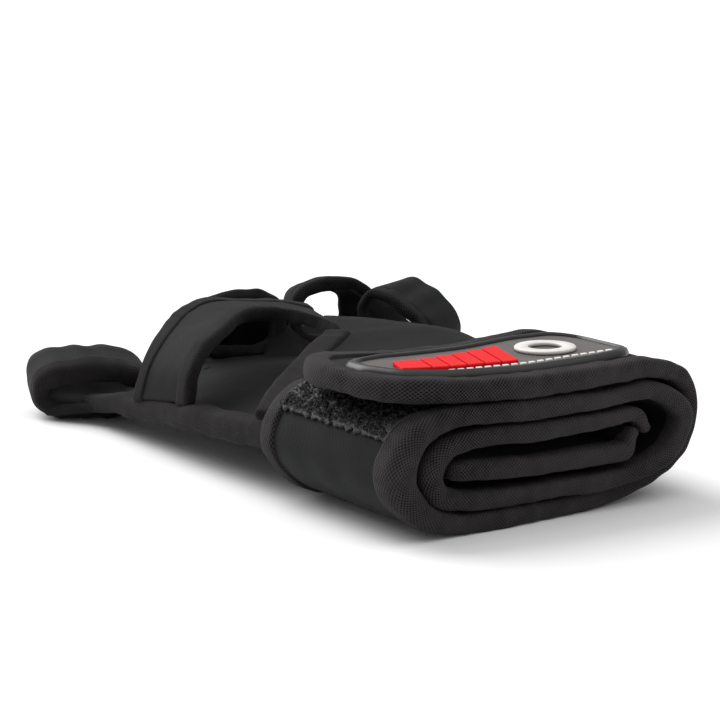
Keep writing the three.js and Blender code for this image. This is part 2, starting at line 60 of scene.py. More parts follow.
# Value of a table at place t, 0 at its first row: cubic pieces whose slope at a row is the
# harmonic mean of the two rises beside it, so that the curve never swings past the rows.
def tableValue(rows, t):
    rows = np.asarray(rows, float)
    t = np.asarray(t, float)
    last = len(rows) - 1
    i = np.clip(np.floor(t).astype(int), 0, last - 1)
    u = np.clip(t - i, 0, 1).reshape(t.shape + (1,) * (rows.ndim - 1))
    rise = np.diff(rows, axis=0)
    a, b = rise[:-1], rise[1:]
    same = a * b > 0
    slope = np.concatenate([rise[:1], np.where(same, 2 * a * b / np.where(same, a + b, 1), 0), rise[-1:]])
    return (rows[i] * (1 + 2 * u) * (1 - u) ** 2 + rows[i + 1] * u * u * (3 - 2 * u)
            + slope[i] * u * (1 - u) ** 2 - slope[i + 1] * u * u * (1 - u))


# Centripetal Catmull-Rom curve: the speed at a point comes from its neighbours, each weighed by
# the square root of its distance. Gives the points and the row number at each.
def smoothPath(points, perSpan=40):
    p = np.asarray(points, float)
    p = np.vstack([2 * p[0] - p[1], p, 2 * p[-1] - p[-2]])
    p0, p1, p2, p3 = p[:-3], p[1:-2], p[2:-1], p[3:]
    d0, d1, d2 = [np.sqrt(np.maximum(np.linalg.norm(b - a, axis=1, keepdims=True), 1e-9))
                  for a, b in ((p0, p1), (p1, p2), (p2, p3))]
    m1 = ((p1 - p0) / d0 - (p2 - p0) / (d0 + d1) + (p2 - p1) / d1) * d1
    m2 = ((p2 - p1) / d1 - (p3 - p1) / (d1 + d2) + (p3 - p2) / d2) * d1
    u = np.linspace(0, 1, perSpan, endpoint=False)[None, :, None]
    curve = (p1[:, None] * (1 + 2 * u) * (1 - u) ** 2 + m1[:, None] * u * (1 - u) ** 2
             + p2[:, None] * u * u * (3 - 2 * u) - m2[:, None] * u * u * (1 - u))
    curve = np.vstack([curve.reshape(-1, p.shape[1]), p2[-1:]])
    return curve, np.arange(len(curve)) / perSpan


def lengthAlong(points):  # distance from the first point to each, along the line
    return np.concatenate([[0], np.cumsum(np.linalg.norm(np.diff(points, axis=0), axis=1))])


def evenPath(points, count, perSpan=40):  # a smooth path through the points in equal steps
    curve, _ = smoothPath(points, perSpan)
    far = lengthAlong(curve)
    at = np.linspace(0, far[-1], count)
    return np.stack([np.interp(at, far, curve[:, n]) for n in range(curve.shape[1])], 1)


# Soft unevenness between about -1 and 1: a sum of cosine waves whose lengths are near size and
# whose directions and starts come from a seeded draw.
def softNoise(places, size, seed, waves=14):
    draw = np.random.default_rng(seed)
    places = np.asarray(places, float)
    total = np.zeros(places.shape[:-1])
    for _ in range(waves):
        way = unit(draw.normal(size=places.shape[-1]))
        total += np.cos(places @ way * 2 * math.pi / (size * draw.uniform(0.7, 1.7)) + draw.uniform(0, 6.28))
    return total / math.sqrt(waves) * 0.7


def bellCurve(x, middle, width):  # 1 at the middle and falling off like a bell
    return np.exp(-((x - middle) / width) ** 2)


def smoothStep(x, low, high):  # 0 below low, 1 above high, eased between
    u = np.clip((x - low) / (high - low), 0, 1)
    return u * u * (3 - 2 * u)


# Square direction of a grid: the step along the rows times the step along the columns.
def gridNormal(grid, loopRows=False, loopColumns=False):
    def step(axis, loop):
        if loop:
            return np.roll(grid, -1, axis) - np.roll(grid, 1, axis)
        return np.gradient(grid, axis=axis)
    return unit(np.cross(step(0, loopRows), step(1, loopColumns)))


# Closed skin round a sheet. Each side stands half the thickness h off the middle, and past the
# borders h goes round a superellipse: out by h sin^(2/f), down to h cos^(2/f).
def skinOf(middle, thick, loopRows=False, fullness=2.4, steps=6):
    middle = np.asarray(middle, float)
    thick = np.broadcast_to(np.asarray(thick, float), middle.shape[:2])
    turn = np.linspace(0, math.pi / 2, steps + 1)[1:]
    out, left = np.sin(turn) ** (2 / fullness), np.cos(turn) ** (2 / fullness)

    def grown(middle, thick):
        for _ in range(2):
            middle, thick = middle[:, ::-1], thick[:, ::-1]
            away = unit(middle[:, -1] - middle[:, -2])
            edge = middle[:, -1:] + (away * thick[:, -1:] / 2)[:, None] * out[:, None]
            middle = np.concatenate([middle, edge], 1)
            thick = np.concatenate([thick, thick[:, -1:] * left], 1)
        return middle, thick

    middle, thick = grown(middle, thick)
    if not loopRows:
        middle, thick = grown(middle.transpose(1, 0, 2), thick.T)
        middle, thick = middle.transpose(1, 0, 2), thick.T
    normal = gridNormal(middle, loopRows) * thick[..., None] / 2
    return np.concatenate([middle + normal, (middle - normal)[:, -2:0:-1]], 1)


# Shapes to pieces

def addPiece(name, points, faces, finish, uv=None, nodes=()):
    mesh = bpy.data.meshes.new(name)
    mesh.vertices.add(len(points))
    mesh.vertices.foreach_set("co", ((points + shift) / 1000).astype(np.float32).ravel())
    mesh.loops.add(faces.size)
    mesh.loops.foreach_set("vertex_index", faces.astype(np.int32).ravel())
    mesh.polygons.add(len(faces))
    mesh.polygons.foreach_set("loop_start", np.arange(0, faces.size, 4, dtype=np.int32))
    mesh.update(calc_edges=True)
    if uv is not None:
        mesh.uv_layers.new(name="cloth").data.foreach_set("uv", uv.astype(np.float32).ravel())
    mesh.polygons.foreach_set("use_smooth", np.ones(len(faces), bool))
    mesh.materials.append(finish)
    piece = bpy.data.objects.new(name, mesh)
    bpy.context.scene.collection.objects.link(piece)
    if nodes:
        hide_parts(*nodes)
    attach(piece, "root")
    return piece


# A skin, whose columns close on themselves, made a mesh with its faces outwards. relief moves
# each point along the surface's own normal by a function of the distances along and round it.
def addSkin(name, skin, finish, nodes=(), loopRows=False, relief=None):
    rows, columns = skin.shape[:2]
    i, j = np.meshgrid(np.arange(rows if loopRows else rows - 1), np.arange(columns), indexing="ij")
    i2, j2 = (i + 1) % rows, (j + 1) % columns

    def corners(skin):
        return skin[i, j], skin[i2, j], skin[i2, j2], skin[i, j2]

    a, b, c, d = corners(skin)
    outwards = 1 if np.einsum("ijk,ijk->", np.cross(c - a, d - b), a + b + c + d) > 0 else -1
    around = np.concatenate([skin, skin[:, :1]], 1)
    v = np.cumsum(np.linalg.norm(np.diff(around, axis=1), axis=-1), 1)
    v = np.concatenate([np.zeros((rows, 1)), v], 1)
    along = np.linalg.norm(np.roll(skin, -1, 0) - skin, axis=-1).mean(1)
    u = np.concatenate([[0], np.cumsum(along)])
    if relief is not None:
        places = np.broadcast_to(u[:rows, None], (rows, columns))
        high = outwards * relief(places, v[:, :-1], skin)
        skin = skin + gridNormal(skin, loopRows, True) * high[..., None]
    quads = [(i, j), (i2, j), (i2, j2), (i, j2)]
    uv = [(u[i], v[i, j]), (u[i + 1], v[i2, j]), (u[i + 1], v[i2, j + 1]), (u[i], v[i, j + 1])]
    if outwards < 0:
        quads, uv = quads[::-1], uv[::-1]
    faces = np.stack([(r * columns + k).ravel() for r, k in quads], 1)
    uv = np.stack([np.stack([p.ravel(), q.ravel()], 1) for p, q in uv], 1)
    return addPiece(name, skin.reshape(-1, 3), faces, finish, uv, nodes)


# Finishes

def linear(hexColour):  # an sRGB hex value as linear red, green, blue and alpha
    s = [int(hexColour[n:n + 2], 16) / 255 for n in (1, 3, 5)]
    return tuple(c / 12.92 if c <= 0.04045 else ((c + 0.055) / 1.055) ** 2.4 for c in s) + (1,)


def addNode(tree, kind, settings=None, inputs=None):  # a node, its settings, and its values or links
    node = tree.nodes.new(kind)
    for key, value in (settings or {}).items():
        setattr(node, key, value)
    for key, value in (inputs or {}).items():
        if isinstance(value, bpy.types.NodeSocket):
            tree.links.new(value, node.inputs[key])
        else:
            node.inputs[key].default_value = value
    return node


def newFinish(name, **shader):
    finish = bpy.data.materials.new(name)
    finish.use_nodes = True
    tree = finish.node_tree
    tree.nodes.clear()
    cloth = addNode(tree, "ShaderNodeBsdfPrincipled", None, shader)
    addNode(tree, "ShaderNodeOutputMaterial", None, {"Surface": cloth.outputs["BSDF"]})
    return finish, tree, cloth


# Knitted polyester binding tape with a soft net: rows of tiny holes, set like a brick wall, and a
# warm black with a low sheen. The holes are painted near-black: painted shade in them. The real
# net's holes are about 0.7 mm apart. They are drawn a little coarser, so that they show. The tapes on
# the hand are a darker copy of the same black: painted shade.
knitTapeLook = {
    "colour": "#343133", "pale": "#413e40", "handShadeColour": "#232122", "handShadePale": "#2b2829",
    "holeShade": "#050405", "sheenTint": "#b6b0b3", "netAlong": 0.95, "netRound": 0.9, "depth": 0.16,
    "stitchPitch": 2.6, "stitchFrom": 1.5,
}


def knittedTape(name, colour, pale):
    tape, tree, cloth = newFinish(name, **{
        "Roughness": 0.88, "Specular IOR Level": 0.12, "Sheen Weight": 0.08, "Sheen Roughness": 0.5,
        "Sheen Tint": linear(knitTapeLook["sheenTint"])})
    uvMap = addNode(tree, "ShaderNodeUVMap", {"uv_map": "cloth"})
    split = addNode(tree, "ShaderNodeSeparateXYZ", None, {"Vector": uvMap.outputs["UV"]})
    netU = addNode(tree, "ShaderNodeMath", {"operation": "MULTIPLY"},
                   {0: split.outputs["X"], 1: 2 * math.pi / knitTapeLook["netAlong"]})
    netV = addNode(tree, "ShaderNodeMath", {"operation": "MULTIPLY"},
                   {0: split.outputs["Y"], 1: 2 * math.pi / knitTapeLook["netRound"]})
    waveU = addNode(tree, "ShaderNodeMath", {"operation": "COSINE"}, {0: netU.outputs[0]})
    waveV = addNode(tree, "ShaderNodeMath", {"operation": "COSINE"}, {0: netV.outputs[0]})
    net = addNode(tree, "ShaderNodeMath", {"operation": "MULTIPLY"},
                  {0: waveU.outputs[0], 1: waveV.outputs[0]})
    objectPlace = addNode(tree, "ShaderNodeTexCoord")
    worn = addNode(tree, "ShaderNodeTexNoise", None,
                   {"Vector": objectPlace.outputs["Object"], "Scale": 260.0, "Detail": 3.0, "Roughness": 0.6})
    netNoise = addNode(tree, "ShaderNodeMath", {"operation": "MULTIPLY_ADD"},
                       {0: worn.outputs["Fac"], 1: 1.4, 2: net.outputs[0]})
    netHeight = addNode(tree, "ShaderNodeMapRange", {"interpolation_type": "SMOOTHSTEP"},
                        {"Value": netNoise.outputs[0], "From Min": 0.35, "From Max": 1.15,
                         "To Min": 1.0, "To Max": 0.0})
    fuzz = addNode(tree, "ShaderNodeTexNoise", None,
                   {"Vector": objectPlace.outputs["Object"], "Scale": 2600.0, "Detail": 2.0})
    fuzzHeight = addNode(tree, "ShaderNodeMath", {"operation": "MULTIPLY_ADD"},
                         {0: fuzz.outputs["Fac"], 1: 0.35, 2: netHeight.outputs["Result"]})
    bump = addNode(tree, "ShaderNodeBump", None,
                   {"Height": fuzzHeight.outputs[0], "Distance": knitTapeLook["depth"] / 1000,
                    "Strength": 0.9})
    # The net's holes are mixed towards near-black: painted shade in the recesses.
    tone = addNode(tree, "ShaderNodeMix", {"data_type": "RGBA"},
                   {"Factor": netHeight.outputs["Result"], "A": linear(knitTapeLook["holeShade"]),
                    "B": linear(colour)})
    patchy = addNode(tree, "ShaderNodeTexNoise", None,
                     {"Vector": objectPlace.outputs["Object"], "Scale": 38.0, "Detail": 2.0})
    paler = addNode(tree, "ShaderNodeMapRange", None,
                    {"Value": patchy.outputs["Fac"], "From Min": 0.35, "From Max": 0.75,
                     "To Min": 0.0, "To Max": 0.5})
    tone2 = addNode(tree, "ShaderNodeMix", {"data_type": "RGBA"},
                    {"Factor": paler.outputs["Result"], "A": tone.outputs["Result"], "B": linear(pale)})
    tree.links.new(tone2.outputs["Result"], cloth.inputs["Base Color"])
    tree.links.new(bump.outputs["Normal"], cloth.inputs["Normal"])
    return tape


knitTape = knittedTape("knittedPolyesterTape", knitTapeLook["colour"], knitTapeLook["pale"])
# The hand's tapes: the same knitted tape in a darker black, which is painted shade.
shadedTape = knittedTape("shadedKnittedTape", knitTapeLook["handShadeColour"], knitTapeLook["handShadePale"])

# Neoprene faced with fine polyester jersey: smooth and even, faint slanting ribs 0.5 mm apart,
# a cool black with a soft sheen at grazing angles.
jerseyLook = {"colour": "#101111", "pale": "#161716", "rib": 0.5, "depth": 0.028}
neoprene, tree, cloth = newFinish("jerseyFacedNeoprene", **{
    "Roughness": 0.8, "Specular IOR Level": 0.16, "Sheen Weight": 0.07, "Sheen Roughness": 0.4,
    "Sheen Tint": linear("#b4b8b6")})
uvMap = addNode(tree, "ShaderNodeUVMap", {"uv_map": "cloth"})
slant = addNode(tree, "ShaderNodeMapping", None,
                {"Vector": uvMap.outputs["UV"], "Rotation": (0, 0, math.radians(52))})
split = addNode(tree, "ShaderNodeSeparateXYZ", None, {"Vector": slant.outputs["Vector"]})
ribPlace = addNode(tree, "ShaderNodeMath", {"operation": "MULTIPLY"},
                   {0: split.outputs["X"], 1: 2 * math.pi / jerseyLook["rib"]})
rib = addNode(tree, "ShaderNodeMath", {"operation": "COSINE"}, {0: ribPlace.outputs[0]})
objectPlace = addNode(tree, "ShaderNodeTexCoord")
grain = addNode(tree, "ShaderNodeTexNoise", None,
                {"Vector": objectPlace.outputs["Object"], "Scale": 2400.0, "Detail": 2.0})
height = addNode(tree, "ShaderNodeMath", {"operation": "MULTIPLY_ADD"},
                 {0: grain.outputs["Fac"], 1: 2.2, 2: rib.outputs[0]})
bump = addNode(tree, "ShaderNodeBump", None,
               {"Height": height.outputs[0], "Distance": jerseyLook["depth"] / 1000, "Strength": 0.8})
patchy = addNode(tree, "ShaderNodeTexNoise", None,
                 {"Vector": objectPlace.outputs["Object"], "Scale": 55.0, "Detail": 3.0})
tone = addNode(tree, "ShaderNodeMix", {"data_type": "RGBA"},
               {"Factor": patchy.outputs["Fac"], "A": linear(jerseyLook["colour"]),
                "B": linear(jerseyLook["pale"])})
tree.links.new(tone.outputs["Result"], cloth.inputs["Base Color"])
tree.links.new(bump.outputs["Normal"], cloth.inputs["Normal"])

# Nylon loop pile of a hook fastener, brushed: a black felt of curls whose shiny threads glint.
pileThread, tree, cloth = newFinish("brushedNylonLoopPile", **{
    "Base Color": linear("#0b0b0c"), "Roughness": 0.42, "Specular IOR Level": 0.4})
objectPlace = addNode(tree, "ShaderNodeTexCoord")
curls = addNode(tree, "ShaderNodeTexNoise", None,
                {"Vector": objectPlace.outputs["Object"], "Scale": 1500.0, "Detail": 4.0, "Roughness": 0.7})
bump = addNode(tree, "ShaderNodeBump", None,
               {"Height": curls.outputs["Fac"], "Distance": 0.0003, "Strength": 1.0})
tree.links.new(bump.outputs["Normal"], cloth.inputs["Normal"])


# Moulded silicone rubber: a satin skin with a fine stipple from the mould and a little dust in it
# that lifts the colour.
def mouldedRubber(name, colour, dusty, roughness=0.46, shine=0.42):
    finish, tree, skin = newFinish(name, **{"Roughness": roughness, "Specular IOR Level": shine})
    place = addNode(tree, "ShaderNodeTexCoord")
    stipple = addNode(tree, "ShaderNodeTexNoise", None,
                      {"Vector": place.outputs["Object"], "Scale": 1800.0, "Detail": 2.0})
    bump = addNode(tree, "ShaderNodeBump", None,
                   {"Height": stipple.outputs["Fac"], "Distance": 0.00006, "Strength": 0.7})
    dust = addNode(tree, "ShaderNodeTexNoise", None,
                   {"Vector": place.outputs["Object"], "Scale": 160.0, "Detail": 4.0, "Roughness": 0.65})
    share = addNode(tree, "ShaderNodeMapRange", None,
                    {"Value": dust.outputs["Fac"], "From Min": 0.45, "From Max": 0.8,
                     "To Min": 0.0, "To Max": 0.6})
    tone = addNode(tree, "ShaderNodeMix", {"data_type": "RGBA"},
                   {"Factor": share.outputs["Result"], "A": linear(colour), "B": linear(dusty)})
    tree.links.new(tone.outputs["Result"], skin.inputs["Base Color"])
    tree.links.new(bump.outputs["Normal"], skin.inputs["Normal"])
    return finish


greyRubber = mouldedRubber("mouldedGreyRubber", "#575150", "#6a6563")
blackRubber = mouldedRubber("mouldedBlackRubber", "#161616", "#252424", 0.4)
redRubber = mouldedRubber("mouldedRedRubber", "#de0e18", "#e01c22", 0.5, 0.12)
whiteRubber = mouldedRubber("mouldedWhiteRubber", "#dcdad6", "#c4c0bb")
print("finishes made")


# Rolled wrap

# Rows from the flap's tip to the end sewn inside: x and z of the middle, thickness at the bound
# edges, and how far the near and far edges stand back from the roll's two ends.
wrap = {
    "rows": [
        (-34.0, 36.0, 5.6, 2.0, 8.0), (-25, 35.4, 5.8, 3.0, 8.5), (-14, 34.7, 5.8, 1.4, 9.5),
        (-3, 34.0, 5.6, 0.4, 10.0), (14, 33.5, 5.4, 0.0, 8.5), (34, 33.8, 5.4, 0.0, 6.0),
        (47, 33.6, 5.0, 1.0, 3.0), (58.6, 29.4, 4.8, 3.5, 1.0), (62.2, 20.8, 4.8, 4.5, 0.0),
        (57.2, 10.2, 4.8, 4.5, 0.0), (44, 4.5, 4.8, 4.0, 0.0), (30, 2.8, 4.8, 2.5, 0.0),
        (20, 2.4, 4.8, 1.4, 0.0), (6, 2.4, 4.8, 0.4, 0.0), (-8, 2.4, 4.8, 0.0, 0.0),
        (-14, 3.1, 5.2, 0.0, 0.0), (-22.6, 6.0, 6.6, 0.0, 0.0), (-29.6, 15.6, 8.8, 0.0, 0.0),
        (-25.0, 25.2, 7.4, 0.0, 0.0), (-14, 28.3, 5.0, 0.0, 0.0), (6, 27.9, 5.0, 0.0, 0.0),
        (30, 27.8, 4.8, 0.0, 0.0), (48, 28.0, 4.8, 0.0, 0.0), (56.5, 21.2, 5.0, 0.0, 0.0),
        (52.0, 12.0, 5.0, 0.0, 0.0), (38, 7.9, 4.6, 0.0, 0.0), (14, 7.4, 4.6, 0.0, 0.0),
        (-9, 7.8, 4.8, 0.0, 0.0), (-18.2, 10.4, 6.0, 0.0, 0.0), (-20.6, 15.6, 6.8, 0.0, 0.0),
        (-17.0, 20.6, 6.0, 0.0, 0.0), (-8, 22.6, 4.8, 0.0, 0.0), (12, 22.1, 4.6, 0.0, 0.0),
        (33, 22.7, 4.4, 0.0, 0.0), (41.6, 22.9, 3.4, 0.0, 0.0), (44.8, 18.8, 2.6, 0.0, 0.0)],
    "width": 57, "tape": 6, "tipRounding": 17, "tipFullness": 2.3, "step": 0.8,
    "panelBelow": 0.9, "panelCrown": 0.7, "panelUnder": 1.2,
}

wrapCurve, wrapRow = smoothPath([row[:2] for row in wrap["rows"]], 120)
wrapFar = lengthAlong(wrapCurve)
wrapLength = wrapFar[-1]
fineS = np.arange(0, wrapLength, 0.2)
fineXZ = np.stack([np.interp(fineS, wrapFar, wrapCurve[:, n]) for n in (0, 1)], 1)
bell = np.exp(-np.linspace(-2.5, 2.5, 21) ** 2)  # a bell 1 mm wide takes the last corners out of the path
bell /= bell.sum()
longer = np.vstack([2 * fineXZ[0] - fineXZ[10:0:-1], fineXZ, 2 * fineXZ[-1] - fineXZ[-2:-12:-1]])
fineXZ = np.stack([np.convolve(longer[:, n], bell, "valid") for n in (0, 1)], 1)
fineRun = unit(np.gradient(fineXZ, axis=0))
fineTable = tableValue([row[2:] for row in wrap["rows"]], np.interp(fineS, wrapFar, wrapRow))


def wrapValue(column, s):  # thickness 0, near edge 1 or far edge 2 at a distance along the wrap
    return np.interp(s, fineS, fineTable[:, column])


# A place on the wrap: the middle of its path at distance s, moved by lift along the path's
# normal to the outside of the roll, and by y across it.
def wrapPoint(s, y, lift=0.0):
    x, z = (np.interp(s, fineS, fineXZ[:, n]) for n in (0, 1))
    runX, runZ = (np.interp(s, fineS, fineRun[:, n]) for n in (0, 1))
    return np.stack([x - runZ * lift, y + 0 * x, z + runX * lift], -1)


# Edge of the wrap set in by inset: down the near side to the tip, round it on a superellipse
# x = r (1 - cos^(2/f)), y = sin^(2/f), and back along the far side. Gives s and y.
def wrapOutline(inset):
    rounding = wrap["tipRounding"] - inset
    straight = np.linspace(wrapLength - 0.6, wrap["tipRounding"], int(wrapLength / wrap["step"]))
    angle = np.linspace(-math.pi / 2, math.pi / 2, 62)[1:-1]
    bent = 2 / wrap["tipFullness"]
    s = np.concatenate([straight, inset + rounding * (1 - np.cos(angle) ** bent), straight[::-1]])
    side = np.concatenate([-np.ones(len(straight)), np.sign(angle) * np.abs(np.sin(angle)) ** bent,
                           np.ones(len(straight))])
    near = wrapValue(1, s) + inset
    far = wrap["width"] - wrapValue(2, s) - inset
    return s, (near + far) / 2 + side * (far - near) / 2


def tapeRelief(u, v, skin):  # puckers across the tape, slow waves, and a dent at each stitch
    puckers = softNoise(np.stack([u, v * 0.25], -1), 4.2, 3) * 0.13
    waves = softNoise(skin, 17, 5) * 0.22
    pitch = knitTapeLook["stitchPitch"]
    stitch = bellCurve(v, knitTapeLook["stitchFrom"], 0.45) * (0.6 + 0.4 * np.cos(2 * math.pi * u / pitch))
    return puckers + waves - 0.2 * stitch


insets = np.array([6.6, 6.2, 6.0, 5.85, 5.3, 4.4, 3.4, 2.7])
shares = np.array([0.50, 0.62, 0.86, 0.97, 1.0, 1.0, 1.0, 1.0])
outlines = [wrapOutline(inset) for inset in insets]
middle = np.stack([wrapPoint(s, y) for s, y in outlines], 1)
thick = np.stack([wrapValue(0, outlines[-1][0]) * share for share in shares], 1)
addSkin("wrap_tape", skinOf(middle, thick, fullness=2.7, steps=7), knitTape,
        ["strap_binding"], relief=tapeRelief)

panelInset = wrap["tape"] - wrap["panelUnder"]
tipAngle = np.linspace(0.1, math.pi / 2, 26)
tipBend = 2 / wrap["tipFullness"]
panelS = np.concatenate([
    panelInset + (wrap["tipRounding"] - panelInset) * (1 - np.cos(tipAngle) ** tipBend),
    np.arange(wrap["tipRounding"] + 0.8, wrapLength - 1, 0.9)])
panelFull = np.concatenate([np.sin(tipAngle) ** tipBend, np.ones(len(panelS) - len(tipAngle))])
near = wrapValue(1, panelS) + panelInset
far = wrap["width"] - wrapValue(2, panelS) - panelInset
across = np.linspace(-1, 1, 33)
panelY = (near + far)[:, None] / 2 + (far - near)[:, None] / 2 * panelFull[:, None] * across
panelThick = (wrapValue(0, panelS) - 2 * wrap["panelBelow"])[:, None] * np.ones(33)
panelThick = panelThick + wrap["panelCrown"] * (1 - across ** 4) * panelFull[:, None]


def panelRelief(u, v, skin):  # slow swells, and short creases where the wrap turns
    return softNoise(skin, 14, 11) * 0.16 + softNoise(skin * (1, 0.35, 1), 5, 12) * 0.05


panelMiddle = wrapPoint(panelS[:, None] + 0 * panelY, panelY)
addSkin("wrap_neoprene", skinOf(panelMiddle, panelThick, steps=4), neoprene, ["strap_panel"],
        relief=panelRelief)
print("wrap made, length", round(float(wrapLength), 1))


# Loop pile on the second turn

# How far before two rows of the wrap the pile starts and stops, and its curls, which stand closest
# together where it starts.
pile = {
    "fromRow": 18, "from": 3.6, "toRow": 22, "to": 14, "inset": 5.6, "height": 0.9, "feltLift": 0.75,
    "curls": 3400, "curlSize": 0.75, "curlLift": 1.1, "curlSpread": 44, "curlCrowding": 1.25,
    "thread": 0.11, "placeSeed": 8, "curlSeed": 9,
}
rowPlace = np.interp([pile["fromRow"], pile["toRow"]], wrapRow, wrapFar)
pileS = np.linspace(rowPlace[0] - pile["from"], rowPlace[1] - pile["to"], 170)
pileY = np.linspace(pile["inset"], wrap["width"] - pile["inset"], 150)
gridS, gridY = np.meshgrid(pileS, pileY, indexing="ij")
ragged = softNoise(gridY[..., None], 3.5, 21) * 0.35  # the cut edge wanders a little
lift = wrapValue(0, gridS) / 2 - wrap["panelBelow"] + pile["feltLift"]


def pileRelief(u, v, skin):
    return softNoise(skin, 1.3, 31) * 0.16 + softNoise(skin, 0.7, 32) * 0.12


pileMiddle = wrapPoint(gridS + ragged, gridY, lift)
addSkin("loop_pile_felt", skinOf(pileMiddle, pile["height"], steps=3), pileThread, ["loop_pile"],
        relief=pileRelief)


# Curls of thread: each is a bow, x = cos a, z = sin a, turned and leaned by a seeded draw, with a
# thin tube round it: four corners at each of seven places.
def addCurls(name, feet, normals, size, thread, seed, finish):
    draw = np.random.default_rng(seed)
    count = len(feet)
    side = unit(np.cross(normals, unit(draw.normal(size=(count, 3)))))
    lean = unit(normals + 0.35 * draw.normal(size=(count, 3)))
    size = size * draw.uniform(0.6, 1.35, count)
    angle = np.linspace(-0.35, math.pi + draw.uniform(-0.3, 0.6, count), 7).T
    bow = (feet[:, None] + side[:, None] * (np.cos(angle) * size[:, None])[..., None]
           + lean[:, None] * (np.sin(angle) * size[:, None] * draw.uniform(0.7, 1.5, (count, 1)))[..., None])
    run = unit(np.gradient(bow, axis=1))
    flat = unit(np.cross(side, lean))[:, None]
    other = np.cross(run, flat + 0 * run)
    round4 = np.arange(4) * math.pi / 2
    square = np.cos(round4)[:, None] * flat[:, :, None] + np.sin(round4)[:, None] * other[:, :, None]
    points = (bow[:, :, None] + thread * square).reshape(-1, 3)
    c, i, j = np.meshgrid(np.arange(count), np.arange(6), np.arange(4), indexing="ij")

    def at(i, j):
        return (c * 28 + i * 4 + j % 4).ravel()

    faces = np.stack([at(i, j), at(i, j + 1), at(i + 1, j + 1), at(i + 1, j)], 1)
    ends = np.arange(count)[:, None] * 28 + np.array([[3, 2, 1, 0], [24, 25, 26, 27]])[:, None]
    faces = np.concatenate([faces, ends.reshape(-1, 4)])
    return addPiece(name, points, faces, finish)


draw = np.random.default_rng(pile["placeSeed"])
curlShare = draw.uniform(0, 1, pile["curls"]) ** pile["curlCrowding"]
curlS = rowPlace[0] - pile["from"] + 0.5 + curlShare * pile["curlSpread"]
curlY = draw.uniform(pile["inset"] + 0.6, wrap["width"] - pile["inset"] - 0.6, pile["curls"])
curlLift = wrapValue(0, curlS) / 2 - wrap["panelBelow"] + pile["curlLift"]
feet = wrapPoint(curlS, curlY, curlLift)
outward = unit(wrapPoint(curlS, curlY, curlLift + 1) - feet)
addCurls("loop_pile_curls", feet, outward, pile["curlSize"], pile["thread"], pile["curlSeed"], pileThread)
print("loop pile made")


# Rubber patch on the flap

# Near and far edges at distances along the wrap from the flap's tip, and its raised work.
patch = {
    "rows": [
        (8, 22.0, 29.0), (13, 13.6, 33.4), (22, 9.2, 36.2), (42, 7.4, 38.0), (66, 7.2, 41.6), (77, 9.4, 40.6),
        (84, 17.0, 35.0)],
    "spine": (24, 72), "spineY": 24.5, "base": 1.0, "rimWidth": 2.0, "rimHeight": 0.8, "lift": 0.3,
    "tipSink": 0.5, "sinkFrom": 12, "sinkTo": 40,
    "bars": 6, "barFirst": 17.2, "barLead": 3.4, "barPitch": 5.2, "barWidth": 4.5, "barSlant": 6,
    "slantOver": 17, "barNear": 13.4, "barFar": (24, 31.5), "barHeight": 1.1,
    "ringS": 64, "ringY": 24, "ringOuter": 7.8, "ringInner": 4.2, "ringHeight": 1.0,
    "dashY": (10.6, 11.4), "dashFrom": 25, "dashTo": 74, "dashPitch": 2.7, "dashLong": 1.8, "dashWide": 1.4,
    "dashLean": 0.5, "dashHeight": 0.6,
}
patchRows = np.array(patch["rows"])


def patchLift(s):  # height of the panel's top over the middle of the wrap, sunk a little at the tip
    sunk = patch["tipSink"] * (1 - smoothStep(s, patch["sinkFrom"], patch["sinkTo"]))
    return wrapValue(0, s) / 2 - wrap["panelBelow"] + patch["lift"] - sunk


def patchLoop(inset, count=240):  # the patch's outline set in by inset, in even steps, as s and y
    near = np.stack([patchRows[:, 0], patchRows[:, 1]], 1)
    far = np.stack([patchRows[:, 0], patchRows[:, 2]], 1)[::-1]
    ring = np.vstack([near, far, near[:1]])
    for _ in range(2):  # each pass cuts the corners at 12 percent of every side
        a, b = ring[:-1], ring[1:]
        ring = np.stack([a * 0.88 + b * 0.12, a * 0.12 + b * 0.88], 1).reshape(-1, 2)
        ring = np.vstack([ring, ring[:1]])
    far = lengthAlong(ring)
    at = np.linspace(0, far[-1], count, endpoint=False)
    ring = np.stack([np.interp(at, far, ring[:, n]) for n in (0, 1)], 1)
    run = unit(np.roll(ring, -1, 0) - np.roll(ring, 1, 0))
    return ring + np.stack([-run[:, 1], run[:, 0]], 1) * inset


# A moulding carried round a closed line on the wrap: its section is a short list of how far in
# from the line and how high each corner is, and it closes on itself.
def addMoulding(name, loopAt, section, finish, nodes=()):
    rings = [loopAt(inset) for inset, _ in section]
    skin = np.stack([wrapPoint(r[:, 0], r[:, 1], patchLift(r[:, 0]) + high)
                     for r, (_, high) in zip(rings, section)], 1)
    return addSkin(name, skin, finish, nodes, loopRows=True)


def patchSheet(inset, steps=26):  # filled patch as a grid of rings shrinking to its middle line
    ring = patchLoop(inset)
    spine = np.stack([np.clip(ring[:, 0], *patch["spine"]), np.full(len(ring), patch["spineY"])], 1)
    share = np.concatenate([np.linspace(0, 0.985, steps - 1), [1]])[None, :, None]
    return ring[:, None] * (1 - share) + spine[:, None] * share


field = patchSheet(0.3)
fieldTop = wrapPoint(field[..., 0], field[..., 1], patchLift(field[..., 0]) + patch["base"])
fieldLow = wrapPoint(field[..., 0], field[..., 1], patchLift(field[..., 0]) - 0.4)
fieldSkin = np.concatenate([fieldTop[:, ::-1], fieldLow], 1)
addSkin("patch_field", fieldSkin, greyRubber, ["patch_base"], loopRows=True)
h, w = patch["rimHeight"] + patch["base"], patch["rimWidth"]
addMoulding("patch_rim_moulding", patchLoop,
            [(-0.9, -0.4), (-0.8, 0.5), (-0.1, 1.5), (0.55, h - 0.12), (0.8, h), (w - 0.55, h),
             (w - 0.3, h - 0.1), (w + 0.05, patch["base"] + 0.1), (w, patch["base"] - 0.3), (0.6, -0.3)],
            blackRubber, ["patch_rim"])


